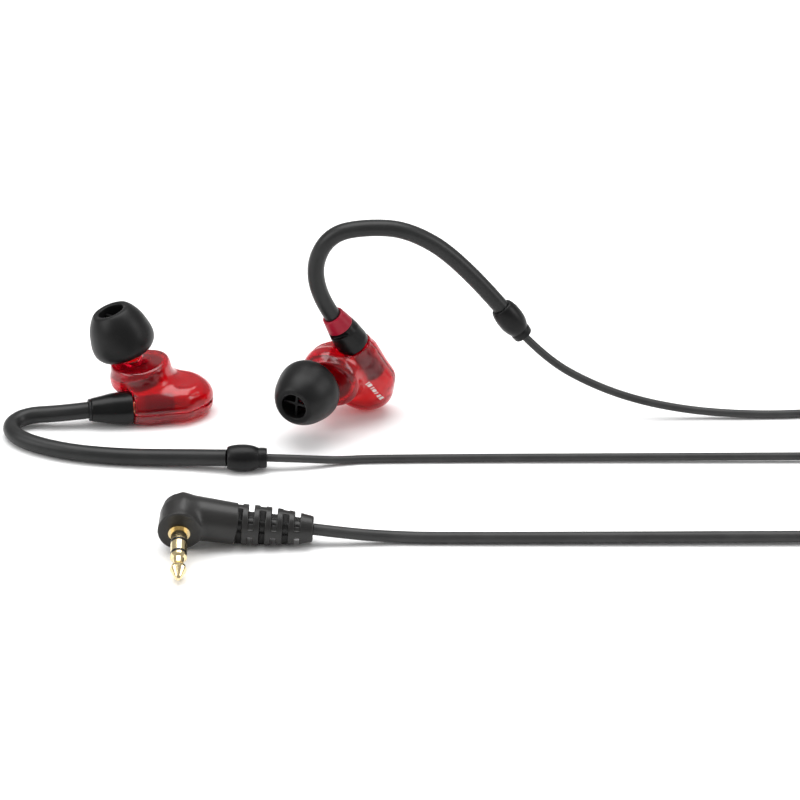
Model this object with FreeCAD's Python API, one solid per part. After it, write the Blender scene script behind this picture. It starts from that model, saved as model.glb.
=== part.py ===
"""A pair of wired in-ear monitors: two translucent earpieces, ear hooks, cable set and angled 3.5 mm plug.

Millimetres. X runs from the left earpiece to the right one, Y runs away from the plug, Z is up from the
surface that the pair lies on. The origin is on that surface, under the middle of the earpieces and hooks.

Each earpiece is built in its own frame: the origin is in the mouth of its cable socket, +x runs into the
housing along the socket, +z points at the ear. The left one is built, and the right one mirrors it.
A profile is a list of (distance along the axis, radius), in the order that its outline is drawn.
"""
import FreeCAD, Part
import math
import os

V = FreeCAD.Vector
ORIGIN = V(0, 0, 0)
X_AXIS, Y_AXIS, Z_AXIS = V(1, 0, 0), V(0, 1, 0), V(0, 0, 1)
FULL_TURN = 360
QUARTER_TURN = 90
GAP = 0.1                         # between neighbouring pieces of different bodies
FIT = 0.05                        # radial running clearance
BEYOND = 1.0                      # how far a cutting tool passes the face that it cuts
BIG = 60.0                        # wider than any one piece

# ---- housing, in the earpiece's frame ----
WALL = 0.8
FACE_LOW = -3.7                   # the faceplate's outer face
SHOULDER = 2.8                    # top of the plate that carries the duct, the dome and the boss
EDGE_ROUND = 2.6                  # rounding between the side wall and the two faces
OUTLINE = ((3.2, 0.0, 3.5), (11.4, 3.85, 6.4), (4.6, 8.0, 5.0))   # x, y, radius of the plate's lobes
DOME_LOBES = ((10.5, 3.9, 6.2), (4.2, 8.4, 4.3))
DOME_TOP = 3.9
DOME_ROUND = 3.0
DUCT_RADIUS = 3.6                 # raised tunnel over the cable socket
DUCT_END = 10.5
SEAM_Z = -0.4                     # parting plane between the faceplate and the inner shell
SEAM_GAP = 0.08
MOUTH_X = 0.15                    # where the shell starts
RELIEF_RADIUS = 3.85              # room about the cable connector, so that the earpiece can swivel
MOUTH_RADIUS = 2.6                # hole in the end wall that the cable socket fills

# ---- driver boss, nozzle and ear tip ----
BOSS_TOP = V(2.25, 6.1, 6.65)
EAR_AXIS = V(-0.354, 0.113, 1.0).normalize()
BOSS_RADIUS = 6.3
BOSS_LENGTH = 6.2
BOSS_ROUND = 0.7
LAND_TOP = V(2.25, 6.1, 7.55)          # solid land on the boss, nearly level, that the nozzle stands on
LAND_AXIS = V(-0.04, 0.04, 1.0).normalize()
LAND_RADIUS = 6.15
LAND_LENGTH = 5.0
NOZZLE_BASE = V(1.15, 7.37, 6.11)
NECK_RADIUS = 3.7
NECK_LENGTH = 1.5
NOZZLE_RADIUS = 2.5
NOZZLE_BORE = 1.7
NOZZLE_LENGTH = 8.0
NOZZLE_SINK = 0.6                 # how far the neck reaches down into the boss
MESH_THICKNESS = 0.25
MESH_SEAT = 0.35                  # ledge that the sound mesh lies on
TIP_HOLE = 2.8
TIP_STEM = 1.0                    # wall of the stem that grips the nozzle
TIP_CLEAR = 1.4                   # between the neck and the stem's lower end
TIP_LEDGE = 0.6                   # of the stem beyond the nozzle's end
TIP_OUTSIDE = ((3.4, 5.5), (4.3, 6.3), (6.0, 6.8), (8.6, 6.5), (11.0, 5.75), (12.8, 4.75), (13.5, 4.1),
               (13.65, 3.4), (13.55, TIP_HOLE))
TIP_INSIDE = ((11.5, 3.55), (10.8, 4.6), (8.8, 5.7), (6.4, 5.9), (4.8, 5.4), (3.6, 4.6))
WEB_WIDTH = 0.6                   # arms of the cross in the sound hole
WEB_DEPTH = 1.0
WEB_END = 12.4
WEB_ANGLES = (45, 135)

# ---- driver: depths are measured back from its front edge ----
DRIVER_DROP = 1.1                 # front edge below the boss's top
DRIVER_DEPTH = 3.2
DRIVER_RADIUS = 4.8
DRIVER_BACK_RADIUS = 3.6
DRIVER_VENT = 1.9                 # radius of the hole in the frame's back
DRIVER_RIM = 0.5
DRIVER_STEP = 1.4                 # where the frame's bore narrows behind the diaphragm
DRIVER_BORE = 3.2
MAGNET_RADIUS = 1.9
MAGNET_DEPTH = 1.5
VOICE_COIL_RADIUS = 2.3
VOICE_COIL_WALL = 0.25
VOICE_COIL_DEPTH = 0.9
DIAPHRAGM_RADIUS = 4.1
DIAPHRAGM_THICKNESS = 0.15
DIAPHRAGM = ((0.55, 0.0), (0.75, VOICE_COIL_RADIUS), (0.5, 3.5), (0.7, DIAPHRAGM_RADIUS - GAP))
TERMINAL_SIZE = V(2.6, 1.6, 0.4)
WIRE_RADIUS = 0.22
WIRE_SPACING = 0.8
WIRE_ROUTE = ((8.8, 0.0, -0.8), (10.6, 0.9, -1.3), (10.2, 4.2, -1.5), (6.4, 5.6, -1.1))

# ---- cable connector ----
CAP_LENGTH = 9.45
CAP_SHOULDER = 4.6                # where the cap begins to taper
CAP_MOUTH_RADIUS = 3.55
CAP_SHOULDER_RADIUS = 3.35
CAP_NECK_RADIUS = 2.4
CAP_EDGE = 0.3
MARK_LENGTH = {"left": 0.5, "right": 3.4}   # ring at the small end of each cap
BARREL_RADIUS = 1.9
BARREL_BORE = 1.3
BARREL_ROOT = 1.5                 # how far the barrel goes into the cap
BARREL_REACH = 4.6
PIN_RADIUS = 0.4
PIN_PROUD = 0.4                   # how far the pin stands out of the barrel
INSULATOR_END = 0.8
SOCKET_RADIUS = 2.4
SOCKET_LENGTH = 8.8
SOCKET_FLOOR = 0.6                # room before the barrel's end
CONTACT_DEPTH = 1.4               # how deep the contact goes past the socket's floor
CONTACT_START = 1.6
CONTACT_WALL = 0.3
RING_START = 2.5                  # groove of the snap ring
RING_WIDTH = 0.6
RING_DEPTH = 0.3

# ---- hooks, ferrules and cords ----
HOOK_RADIUS = 1.8
BRANCH_RADIUS = 0.85
MAIN_RADIUS = 1.25
ARC_SHARE = 0.45                  # of the shorter run that an arc takes
FERRULE_LENGTH = 8.5
FERRULE_PROFILE = ((0, 0), (0, 2.15), (0.6, 2.6), (1.6, 2.8), (5.1, 2.7), (6.9, 2.05), (FERRULE_LENGTH, 1.95),
                   (FERRULE_LENGTH, 0))

# ---- plug ----
SHAFT_RADIUS = 1.75               # standard 3.5 mm plug
SHAFT_CORE = 1.0                  # the tip's stem inside the ring and the sleeve
SLEEVE_LENGTH = 2.5
RING_BAND = 2.6
INSULATOR_BAND = 0.7
SHOULDER_LENGTH = 0.6             # gold flange between the body and the sleeve
SHOULDER_RADIUS = 2.3
TIP_PROFILE = ((0.0, SHAFT_RADIUS), (0.6, SHAFT_RADIUS), (1.1, 1.25), (2.4, 1.1), (3.4, 1.6), (4.1, 1.7),
               (6.4, 0.75), (6.9, 0.35), (6.9, 0.0))   # from the last insulator on
CROSSING = V(-17.9, -48.6, 6.75)  # where the arm's axis meets the shaft's axis
SHAFT_DIP = 16.0                  # degrees that the shaft points down
ARM_ROLL = 11.5                   # degrees that the arm drops towards the strain relief
BODY_FRONT = 4.9                  # from the crossing to the body's front face
BODY_SECTIONS = ((-3.5, 2.0, 2.4), (-3.1, 2.8, 3.3), (-2.2, 3.4, 4.1), (0, 4.1, 4.8), (BODY_FRONT, 4.55, 5.3))
ARM_RADIUS = 4.75
ARM_END_RADIUS = 4.35
ARM_LENGTH = 11.9
RELIEF_END = V(10.0, -48.6, 3.5)
RELIEF_PROFILE = ((0.0, 0.0), (0.0, 4.3), (0.27, 4.1), (0.54, 3.8), (0.8, 3.3), (1.0, 2.7), (1.0, 0.0))
RELIEF_CORE = 1.7                 # what the slots leave round the cable
RELIEF_RIB = 0.9                  # half width of the bridges beside a slot
RELIEF_PITCHES = 3
RELIEF_PITCH = 4.85
RELIEF_SLOTS = ((0.2, 1.2, 0), (2.65, 1.15, 90))   # place in a pitch, width, turn in degrees

# ---- splitter, slider and ties ----
SPLIT_X = 155.4
SPLIT_BRANCH_Y = 2.0
SPLIT_WAIST_Y = -6.0
SPLIT_MAIN_Y = -14.0
SPLIT_Z = 2.0
SPLIT_SECTIONS = ((SPLIT_BRANCH_Y, 3.3, 2.0), (SPLIT_WAIST_Y, 3.0, 1.98), (SPLIT_MAIN_Y, 1.91, 1.9))
LEAD_TOP = V(SPLIT_X, -21.4, 2.6) # the thick cable on its way down from the coil
BRANCH_SPACING = 2.4
SLIDER_START = 2.3
SLIDER_LENGTH = 7.5
SLIDER_WIDTH = 6.4
SLIDER_ROUND = 1.2
TIE_WIDTH = 3.5
TIE_THICKNESS = 0.35
TIE_LIFT = 0.5                    # a coil rests on its tie
COIL_EDGE = 0.4
BRANCH_TIE_ANGLE = 180            # place round the coil, from +X
MAIN_TIE_ANGLE = 90

# ---- places of the two earpieces ----
MOUTH = {"left": V(-28.85, 5.2, 3.7), "right": V(18.35, 7.3, 17.6)}
TURN = {"left": FreeCAD.Rotation(8.4, 0.0, 0.0), "right": FreeCAD.Rotation(21.9, 58.4, 128.0)}

# ---- ferrules: the hook's end, and the way that the cable leaves ----
FERRULE = {"left": (V(-8.5, -15.9, 2.8), V(1.0, 0.0, 0.0)),
           "right": (V(49.5, 5.5, 27.6), V(0.57, 0.04, -0.82))}

# ---- routes, chosen by hand ----
HOOK_ROUTE = {
    "left": [(-44.3, 3.0, 3.3), (-51.4, 4.2, 2.3), (-55.0, 0.4, 1.9), (-53.6, -4.6, 1.85),
             (-48.6, -8.6, 1.85), (-40.5, -12.0, 1.85), (-29.5, -13.8, 1.85), (-18.0, -14.4, 2.1)],
    "right": [(10.9, 4.3, 30.9), (9.9, 3.8, 39.2), (13.6, 3.6, 46.0), (21.0, 3.8, 47.5),
              (30.0, 4.4, 46.6), (40.5, 4.9, 39.4)]}
BRANCH_ROUTE = {
    "left": [(7.5, -15.6, 2.4), (15.0, -13.7, 1.0), (23.0, -12.4, 0.87)],
    "right": [(59.5, 6.2, 14.6), (68.0, 6.5, 9.0), (78.0, 6.9, 4.6), (90.0, 7.2, 1.8),
              (103.0, 7.0, 0.9), (117.0, 7.7, 0.9)]}
LEAD_ROUTE = {
    "left": [(140.5, 7.0, 1.4), (142.7, 15.4, 0.9), (142.6, 27.4, 0.9), (154.2, 27.4, 2.0)],
    "right": [(139.9, 32.2, 1.0), (156.6, 32.2, 2.0)]}
MAIN_ROUTE = [(18.0, -48.7, 2.4), (27.0, -48.1, 1.4), (37.0, -48.4, 1.27)]

# ---- coils: centre, middle radius of the turns, half width and height of the bundle ----
BRANCH_COIL = {"left": (V(130.5, -2.55, 0), 9.0, 2 * BRANCH_RADIUS, 4 * BRANCH_RADIUS),
               "right": (V(130.5, 20.55, 0), 9.4, 2 * BRANCH_RADIUS, 4 * BRANCH_RADIUS)}
MAIN_COIL = (V(140.4, -33.4, 0), 12.5, 3 * MAIN_RADIUS, 6 * MAIN_RADIUS)


def lathe(profile, base, direction):
    """Solid of revolution of a closed profile about an axis."""
    points = [V(along, radius, 0) for along, radius in profile]
    face = Part.Face(Part.makePolygon(points + points[:1]))
    solid = face.revolve(ORIGIN, X_AXIS, FULL_TURN)
    solid.Placement = FreeCAD.Placement(base, FreeCAD.Rotation(X_AXIS, direction))
    return solid


def tube(start, end, outer, inner, base, direction):
    """Plain ring or pipe about an axis, from start to end along it."""
    return lathe([(start, inner), (end, inner), (end, outer), (start, outer)], base, direction)


def rod(start, end, radius, base, direction):
    return Part.makeCylinder(radius, end - start, base + direction * start, direction)


def cord(points, radius, name):
    """Round cord along straight runs joined by tangent arcs."""
    stops = [V(*point) for point in points]
    edges, radii, at = [], [], stops[0]
    for before, corner, after in zip(stops, stops[1:], stops[2:]):
        into = (corner - before).normalize()
        out = (after - corner).normalize()
        turn = into.getAngle(out)
        reach = ARC_SHARE * min((corner - before).Length, (after - corner).Length)
        bend = reach / math.tan(turn / 2)
        start, end = corner - into * reach, corner + out * reach
        inward = (out - into).normalize()
        middle = corner + inward * (bend / math.cos(turn / 2) - bend)
        edges += [Part.LineSegment(at, start).toShape(), Part.Arc(start, middle, end).toShape()]
        radii.append(bend)
        at = end
    edges.append(Part.LineSegment(at, stops[-1]).toShape())
    path = Part.Wire(edges)
    section = Part.Wire(Part.makeCircle(radius, stops[0], stops[1] - stops[0]))
    solid = path.makePipeShell([section], True, False)
    expected = math.pi * radius ** 2 * path.Length
    print(f"{name}: length {path.Length:.1f} mm, tightest {min(radii):.1f} mm "
          f"({min(radii) / radius / 2:.1f} diameters), volume ratio {solid.Volume / expected:.4f}, "
          f"radii {[round(bend, 1) for bend in radii]}")
    return solid


def outline(lobes, inset):
    """Closed wire round lobes of (x, y, radius), moved inwards: arcs joined by their outer tangents.

    The lobes go round anticlockwise.
    """
    circles = [(V(x, y, 0), radius - inset) for x, y, radius in lobes]
    tangents = []
    for (first, r1), (second, r2) in zip(circles, circles[1:] + circles[:1]):
        span = second - first
        heading = math.atan2(span.y, span.x) - math.acos((r1 - r2) / span.Length)
        side = V(math.cos(heading), math.sin(heading), 0)
        tangents.append((first + side * r1, second + side * r2, heading))
    edges = []
    for index, (start, end, heading) in enumerate(tangents):
        edges.append(Part.LineSegment(start, end).toShape())
        centre, radius = circles[(index + 1) % len(circles)]
        next_start, _, next_heading = tangents[(index + 1) % len(tangents)]
        halfway = heading + (next_heading - heading) % (2 * math.pi) / 2
        through = centre + V(math.cos(halfway), math.sin(halfway), 0) * radius
        edges.append(Part.Arc(end, through, next_start).toShape())
    return Part.Wire(edges)


def plate(lobes, inset, low, high, rounding, rounded_levels):
    """Slab inside an outline from low to high, its edges rounded at the levels named."""
    slab = Part.Face(outline(lobes, inset)).extrude(V(0, 0, high - low))
    slab.translate(V(0, 0, low))
    rims = [edge for edge in slab.Edges
            if any(abs(edge.CenterOfMass.z - level) < GAP for level in rounded_levels)]
    return slab.makeFillet(rounding - inset, rims)


def raised_drum(radius, length, top, axis):
    """Cylinder that hangs from its top, whose rim is rounded."""
    drum = Part.makeCylinder(radius, length, top, axis * -1)
    rim = [edge for edge in drum.Edges if (edge.CenterOfMass - top).Length < GAP]
    return drum.makeFillet(BOSS_ROUND, rim)


def envelope(inset, *additions):
    """Outside of the housing, moved inwards by inset: plate, dome, duct, driver boss and any additions."""
    low, shoulder, top = FACE_LOW + inset, SHOULDER - inset, DOME_TOP - inset
    base = plate(OUTLINE, inset, low, shoulder, EDGE_ROUND, (low, shoulder))
    dome = plate(DOME_LOBES, inset, 0, top, DOME_ROUND, (top,))
    duct_radius = DUCT_RADIUS - inset
    duct = rod(0, DUCT_END, duct_radius, ORIGIN, X_AXIS)
    duct = duct.fuse(Part.makeSphere(duct_radius, X_AXIS * DUCT_END))
    boss = raised_drum(BOSS_RADIUS - inset, BOSS_LENGTH - 2 * inset, BOSS_TOP - EAR_AXIS * inset, EAR_AXIS)
    body = base.fuse(dome)
    for addition in (duct, boss, *additions):
        body = body.fuse(addition)
    relief = rod(-CAP_LENGTH, MOUTH_X + inset, RELIEF_RADIUS + inset, ORIGIN, X_AXIS)
    return body.cut(relief)


def shell_halves():
    """Faceplate and inner shell: the hollow housing, parted at the seam."""
    land = raised_drum(LAND_RADIUS, LAND_LENGTH, LAND_TOP, LAND_AXIS)
    hollow = envelope(0, land).cut(envelope(WALL))
    hollow = hollow.cut(rod(-BEYOND, MOUTH_X + WALL + BEYOND, MOUTH_RADIUS, ORIGIN, X_AXIS))
    nozzle = lathe([(-NOZZLE_SINK, NOZZLE_BORE), (-NOZZLE_SINK, NECK_RADIUS), (0, NECK_RADIUS),
                    (NECK_LENGTH, NOZZLE_RADIUS), (NOZZLE_LENGTH, NOZZLE_RADIUS),
                    (NOZZLE_LENGTH, NOZZLE_BORE)], NOZZLE_BASE, EAR_AXIS)
    bore = rod(-WALL - BEYOND, NOZZLE_LENGTH + BEYOND, NOZZLE_BORE, NOZZLE_BASE, EAR_AXIS)
    seat = rod(NOZZLE_LENGTH - MESH_THICKNESS, NOZZLE_LENGTH + BEYOND, NOZZLE_RADIUS - MESH_SEAT, NOZZLE_BASE,
               EAR_AXIS)
    hollow = hollow.fuse(nozzle).cut(bore).cut(seat)
    below = Part.makeBox(BIG, BIG, BIG, V(-BIG / 2, -BIG / 2, SEAM_Z - SEAM_GAP / 2 - BIG))
    above = Part.makeBox(BIG, BIG, BIG, V(-BIG / 2, -BIG / 2, SEAM_Z + SEAM_GAP / 2))
    return hollow.common(below), hollow.common(above)


def driver():
    """Dynamic driver behind the boss's top: frame, magnet, diaphragm, voice coil and terminal board."""
    front = BOSS_TOP - EAR_AXIS * DRIVER_DROP
    back = EAR_AXIS * -1
    back_wall = DRIVER_DEPTH - DRIVER_RIM
    frame = lathe([(0, DRIVER_RADIUS), (DRIVER_DEPTH, DRIVER_BACK_RADIUS), (DRIVER_DEPTH, DRIVER_VENT),
                   (back_wall, DRIVER_VENT), (back_wall, DRIVER_BORE), (DRIVER_STEP, DRIVER_BORE),
                   (DRIVER_STEP, DIAPHRAGM_RADIUS), (0, DIAPHRAGM_RADIUS)], front, back)
    magnet = rod(back_wall - MAGNET_DEPTH, back_wall, MAGNET_RADIUS, front, back)
    behind = [(depth + DIAPHRAGM_THICKNESS, radius) for depth, radius in reversed(DIAPHRAGM)]
    diaphragm = lathe(list(DIAPHRAGM) + behind, front, back)
    coil_start = DIAPHRAGM[1][0] + DIAPHRAGM_THICKNESS
    voice_coil = tube(coil_start, coil_start + VOICE_COIL_DEPTH, VOICE_COIL_RADIUS,
                      VOICE_COIL_RADIUS - VOICE_COIL_WALL, front, back)
    terminal = Part.makeBox(*TERMINAL_SIZE, V(-TERMINAL_SIZE.x / 2, -TERMINAL_SIZE.y / 2, 0))
    terminal.Placement = FreeCAD.Placement(front + back * DRIVER_DEPTH, FreeCAD.Rotation(Z_AXIS, back))
    return {"driver_frame": frame, "driver_magnet": magnet, "diaphragm": diaphragm, "voice_coil": voice_coil,
            "driver_terminal": terminal}


def ear_tip():
    """Flanged silicone tip: a domed skirt folded back from the sound hole over a stem on the nozzle."""
    bore = NOZZLE_RADIUS + FIT
    stem_end = NOZZLE_LENGTH + TIP_LEDGE
    stem_start = NECK_LENGTH + TIP_CLEAR
    stem = [(stem_end, TIP_HOLE), (stem_end, bore), (stem_start, bore), (stem_start, bore + TIP_STEM)]
    tip = lathe(list(TIP_OUTSIDE) + stem + list(TIP_INSIDE), NOZZLE_BASE, EAR_AXIS)
    arm_reach = TIP_HOLE + GAP
    upright = FreeCAD.Placement(NOZZLE_BASE, FreeCAD.Rotation(Z_AXIS, EAR_AXIS))
    for quarter in WEB_ANGLES:
        corner = V(-arm_reach, -WEB_WIDTH / 2, WEB_END - WEB_DEPTH)
        arm = Part.makeBox(2 * arm_reach, WEB_WIDTH, WEB_DEPTH, corner)
        arm.rotate(ORIGIN, Z_AXIS, quarter)
        arm.Placement = upright.multiply(arm.Placement)
        tip = tip.fuse(arm)
    return tip


def cable_plug(side):
    """Cable side of one snap connector: cap, marker ring, barrel, insulator, pin and snap ring."""
    mark_start = CAP_LENGTH - MARK_LENGTH[side]
    slope = (CAP_SHOULDER_RADIUS - CAP_NECK_RADIUS) / (CAP_LENGTH - CAP_SHOULDER)
    mark_radius = CAP_NECK_RADIUS + slope * MARK_LENGTH[side]
    back = X_AXIS * -1
    cap = lathe([(GAP, BARREL_RADIUS), (GAP, CAP_MOUTH_RADIUS - CAP_EDGE), (GAP + CAP_EDGE, CAP_MOUTH_RADIUS),
                 (CAP_SHOULDER, CAP_SHOULDER_RADIUS), (mark_start, mark_radius), (mark_start, 0),
                 (BARREL_ROOT, 0), (BARREL_ROOT, BARREL_RADIUS)], ORIGIN, back)
    marker = lathe([(mark_start, 0), (mark_start, mark_radius), (CAP_LENGTH, CAP_NECK_RADIUS),
                    (CAP_LENGTH, 0)], ORIGIN, back)
    groove_start, groove_end = RING_START - FIT, RING_START + RING_WIDTH + FIT
    groove = BARREL_RADIUS - RING_DEPTH
    barrel = lathe([(-BARREL_ROOT, BARREL_BORE), (-BARREL_ROOT, BARREL_RADIUS), (groove_start, BARREL_RADIUS),
                    (groove_start, groove), (groove_end, groove), (groove_end, BARREL_RADIUS),
                    (BARREL_REACH, BARREL_RADIUS), (BARREL_REACH, BARREL_BORE)], ORIGIN, X_AXIS)
    insulator = tube(-BARREL_ROOT, INSULATOR_END, BARREL_BORE, PIN_RADIUS, ORIGIN, X_AXIS)
    pin = rod(-BARREL_ROOT, BARREL_REACH + PIN_PROUD, PIN_RADIUS, ORIGIN, X_AXIS)
    snap_ring = tube(RING_START, RING_START + RING_WIDTH, BARREL_RADIUS, groove + FIT, ORIGIN, X_AXIS)
    return {"connector_cap": cap, "marker_ring": marker, "plug_barrel": barrel, "plug_insulator": insulator,
            "plug_pin": pin, "snap_ring": snap_ring}


def cable_socket():
    """Earpiece side of one snap connector: socket and its sprung contact."""
    floor_x = BARREL_REACH + SOCKET_FLOOR
    contact_end = floor_x + CONTACT_DEPTH
    bore = BARREL_RADIUS + FIT
    contact_inner = PIN_RADIUS + FIT
    contact_outer = contact_inner + CONTACT_WALL
    socket = lathe([(MOUTH_X + GAP, bore), (MOUTH_X + GAP, SOCKET_RADIUS), (SOCKET_LENGTH, SOCKET_RADIUS),
                    (SOCKET_LENGTH, 0), (contact_end, 0), (contact_end, contact_outer),
                    (floor_x, contact_outer), (floor_x, bore)], ORIGIN, X_AXIS)
    contact = tube(CONTACT_START, contact_end, contact_outer, contact_inner, ORIGIN, X_AXIS)
    return {"socket_body": socket, "socket_contact": contact}


def signal_wires(side):
    """The two wires from the socket to the driver."""
    wires = [cord([(x, y + offset, z) for x, y, z in WIRE_ROUTE], WIRE_RADIUS, side + " signal wire")
             for offset in (-WIRE_SPACING / 2, WIRE_SPACING / 2)]
    return Part.makeCompound(wires)


def earpiece(side):
    """Every piece of one earpiece and its connector, in the earpiece's frame."""
    faceplate, inner_shell = shell_halves()
    mesh = rod(NOZZLE_LENGTH - MESH_THICKNESS, NOZZLE_LENGTH, NOZZLE_RADIUS - MESH_SEAT, NOZZLE_BASE,
               EAR_AXIS)
    return {"faceplate": faceplate, "inner_shell": inner_shell, "nozzle_mesh": mesh, "ear_tip": ear_tip(),
            "signal_wires": signal_wires(side), **driver(), **cable_plug(side), **cable_socket()}


def ferrule(side):
    """Sleeve that ends the hook and lets the thin cable out."""
    hook_end, direction = FERRULE[side]
    return lathe(FERRULE_PROFILE, hook_end, V(direction).normalize())


def coil(centre, middle, half_width, height):
    """Outer shape of a wound coil, resting on its tie."""
    low, high = TIE_LIFT, TIE_LIFT + height
    inner, outer = middle - half_width, middle + half_width
    profile = [(low, inner + COIL_EDGE), (low, outer - COIL_EDGE), (low + COIL_EDGE, outer),
               (high - COIL_EDGE, outer), (high, outer - COIL_EDGE), (high, inner + COIL_EDGE),
               (high - COIL_EDGE, inner), (low + COIL_EDGE, inner)]
    return lathe(profile, centre, Z_AXIS)


def coil_tie(centre, middle, half_width, height, angle):
    """Closed strap round the bundle of turns, at one place of the coil."""
    reach, rise = half_width + GAP, height + 2 * GAP
    outer = Part.makeBox(2 * (reach + TIE_THICKNESS), TIE_WIDTH, rise + 2 * TIE_THICKNESS,
                         V(-reach - TIE_THICKNESS, -TIE_WIDTH / 2, TIE_LIFT - GAP - TIE_THICKNESS))
    inner = Part.makeBox(2 * reach, 2 * TIE_WIDTH, rise, V(-reach, -TIE_WIDTH, TIE_LIFT - GAP))
    tie = outer.cut(inner)
    tie.translate(V(middle, 0, 0))
    tie.rotate(ORIGIN, Z_AXIS, angle)
    tie.translate(centre)
    return tie


def branch(side):
    """Thin cable of one side: ferrule to coil, and coil to splitter."""
    hook_end, direction = FERRULE[side]
    start = hook_end + V(direction).normalize() * FERRULE_LENGTH
    centre, middle, half_width, _ = BRANCH_COIL[side]
    entry = centre + V(0, -(middle + half_width / 2), TIE_LIFT + BRANCH_RADIUS)
    leave = centre + V(middle, 0, TIE_LIFT + 3 * BRANCH_RADIUS)
    offset = BRANCH_SPACING / 2 * (-1 if side == "left" else 1)
    split = V(SPLIT_X + offset, SPLIT_BRANCH_Y, SPLIT_Z)
    first = cord([tuple(start)] + BRANCH_ROUTE[side] + [tuple(entry)], BRANCH_RADIUS, side + " branch")
    second = cord([tuple(leave)] + LEAD_ROUTE[side] + [tuple(split)], BRANCH_RADIUS, side + " lead")
    return Part.makeCompound([first, second])


def main_cable():
    """Thick cable: strain relief to coil, and coil to splitter."""
    centre, middle, _, _ = MAIN_COIL
    entry = centre + V(0, -(middle + 2 * MAIN_RADIUS), TIE_LIFT + MAIN_RADIUS)
    leave = centre + V(middle + 2 * MAIN_RADIUS, 0, TIE_LIFT + 5 * MAIN_RADIUS)
    split = V(SPLIT_X, SPLIT_MAIN_Y, SPLIT_Z)
    first = cord([tuple(RELIEF_END)] + MAIN_ROUTE + [tuple(entry)], MAIN_RADIUS, "main cable")
    second = cord([tuple(leave), tuple(LEAD_TOP), tuple(split)], MAIN_RADIUS, "main lead")
    return Part.makeCompound([first, second])


def splitter():
    """Moulded Y piece: flat where the two thin cables enter, round where the thick one leaves."""
    sections = []
    for y, half_width, half_height in SPLIT_SECTIONS:
        section = Part.Ellipse(ORIGIN, half_width, half_height).toShape()
        section.rotate(ORIGIN, X_AXIS, QUARTER_TURN)
        section.translate(V(SPLIT_X, y, SPLIT_Z))
        sections.append(Part.Wire(section))
    return Part.makeLoft(sections, True, True)


def slider():
    """Chin slider: a small block with two through holes that the thin cables run in."""
    block = Part.makeBox(SLIDER_WIDTH, SLIDER_LENGTH, 2 * SPLIT_Z,
                         V(SPLIT_X - SLIDER_WIDTH / 2, SLIDER_START, 0))
    long_edges = [edge for edge in block.Edges if edge.BoundBox.YLength > SLIDER_LENGTH - FIT]
    block = block.makeFillet(SLIDER_ROUND, long_edges)
    for offset in (-BRANCH_SPACING / 2, BRANCH_SPACING / 2):
        hole = rod(SLIDER_START - BEYOND, SLIDER_START + SLIDER_LENGTH + BEYOND, BRANCH_RADIUS + FIT,
                   V(SPLIT_X + offset, 0, SPLIT_Z), Y_AXIS)
        block = block.cut(hole)
    return block


def jack():
    """Angled plug: L-shaped moulding, slotted strain relief and the gold shaft with its insulators."""
    dip, roll = math.radians(SHAFT_DIP), math.radians(ARM_ROLL)
    shaft = V(0, -math.cos(dip), -math.sin(dip))
    arm = V(math.cos(roll), math.sin(roll) * math.sin(dip), -math.sin(roll) * math.cos(dip))
    turn = FreeCAD.Rotation(shaft.cross(X_AXIS), ORIGIN, shaft, "ZXY")
    sections = []
    for along, half_width, half_height in BODY_SECTIONS:
        section = Part.Ellipse(ORIGIN, half_height, half_width).toShape()
        section.Placement = FreeCAD.Placement(CROSSING + shaft * along, turn)
        sections.append(Part.Wire(section))
    sleeve_arm = lathe([(0, 0), (0, ARM_RADIUS), (ARM_LENGTH, ARM_END_RADIUS), (ARM_LENGTH, 0)],
                       CROSSING, arm)
    body = Part.makeLoft(sections, True, True).fuse(sleeve_arm)
    relief_start = CROSSING + arm * ARM_LENGTH
    relief = strain_relief(relief_start, RELIEF_END - relief_start)
    face = CROSSING + shaft * BODY_FRONT
    sleeve_end = SHOULDER_LENGTH + SLEEVE_LENGTH
    ring_start = sleeve_end + INSULATOR_BAND
    ring_end = ring_start + RING_BAND
    tip_start = ring_end + INSULATOR_BAND
    sleeve = lathe([(0, SHAFT_CORE), (0, SHOULDER_RADIUS), (SHOULDER_LENGTH, SHOULDER_RADIUS),
                    (SHOULDER_LENGTH, SHAFT_RADIUS), (sleeve_end, SHAFT_RADIUS), (sleeve_end, SHAFT_CORE)],
                   face, shaft)
    ring = tube(ring_start, ring_end, SHAFT_RADIUS, SHAFT_CORE, face, shaft)
    bands = Part.makeCompound([tube(sleeve_end, ring_start, SHAFT_RADIUS, SHAFT_CORE, face, shaft),
                               tube(ring_end, tip_start, SHAFT_RADIUS, SHAFT_CORE, face, shaft)])
    tip = lathe([(0, 0), (0, SHAFT_CORE), (tip_start, SHAFT_CORE)]
                + [(tip_start + along, radius) for along, radius in TIP_PROFILE], face, shaft)
    return {"jack_body": body, "jack_strain_relief": relief, "jack_sleeve": sleeve, "jack_ring": ring,
            "jack_insulators": bands, "jack_tip": tip}


def strain_relief(start, along):
    """Tapered rubber sleeve, slotted in turn from its sides and from above and below."""
    length = along.Length
    sleeve = lathe([(share * length, radius) for share, radius in RELIEF_PROFILE], ORIGIN, X_AXIS)
    kept = rod(-BEYOND, length + BEYOND, RELIEF_CORE, ORIGIN, X_AXIS)
    for pitch in range(RELIEF_PITCHES):
        for place, width, turn in RELIEF_SLOTS:
            corner = pitch * RELIEF_PITCH + place
            slot = Part.makeBox(width, BIG, BIG, V(corner, -BIG / 2, -BIG / 2))
            bridge = Part.makeBox(width, 2 * RELIEF_RIB, BIG, V(corner, -RELIEF_RIB, -BIG / 2))
            slot = slot.cut(bridge)
            slot.rotate(ORIGIN, X_AXIS, turn)
            sleeve = sleeve.cut(slot.cut(kept))
    sleeve.Placement = FreeCAD.Placement(start, FreeCAD.Rotation(X_AXIS, along))
    return sleeve


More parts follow.
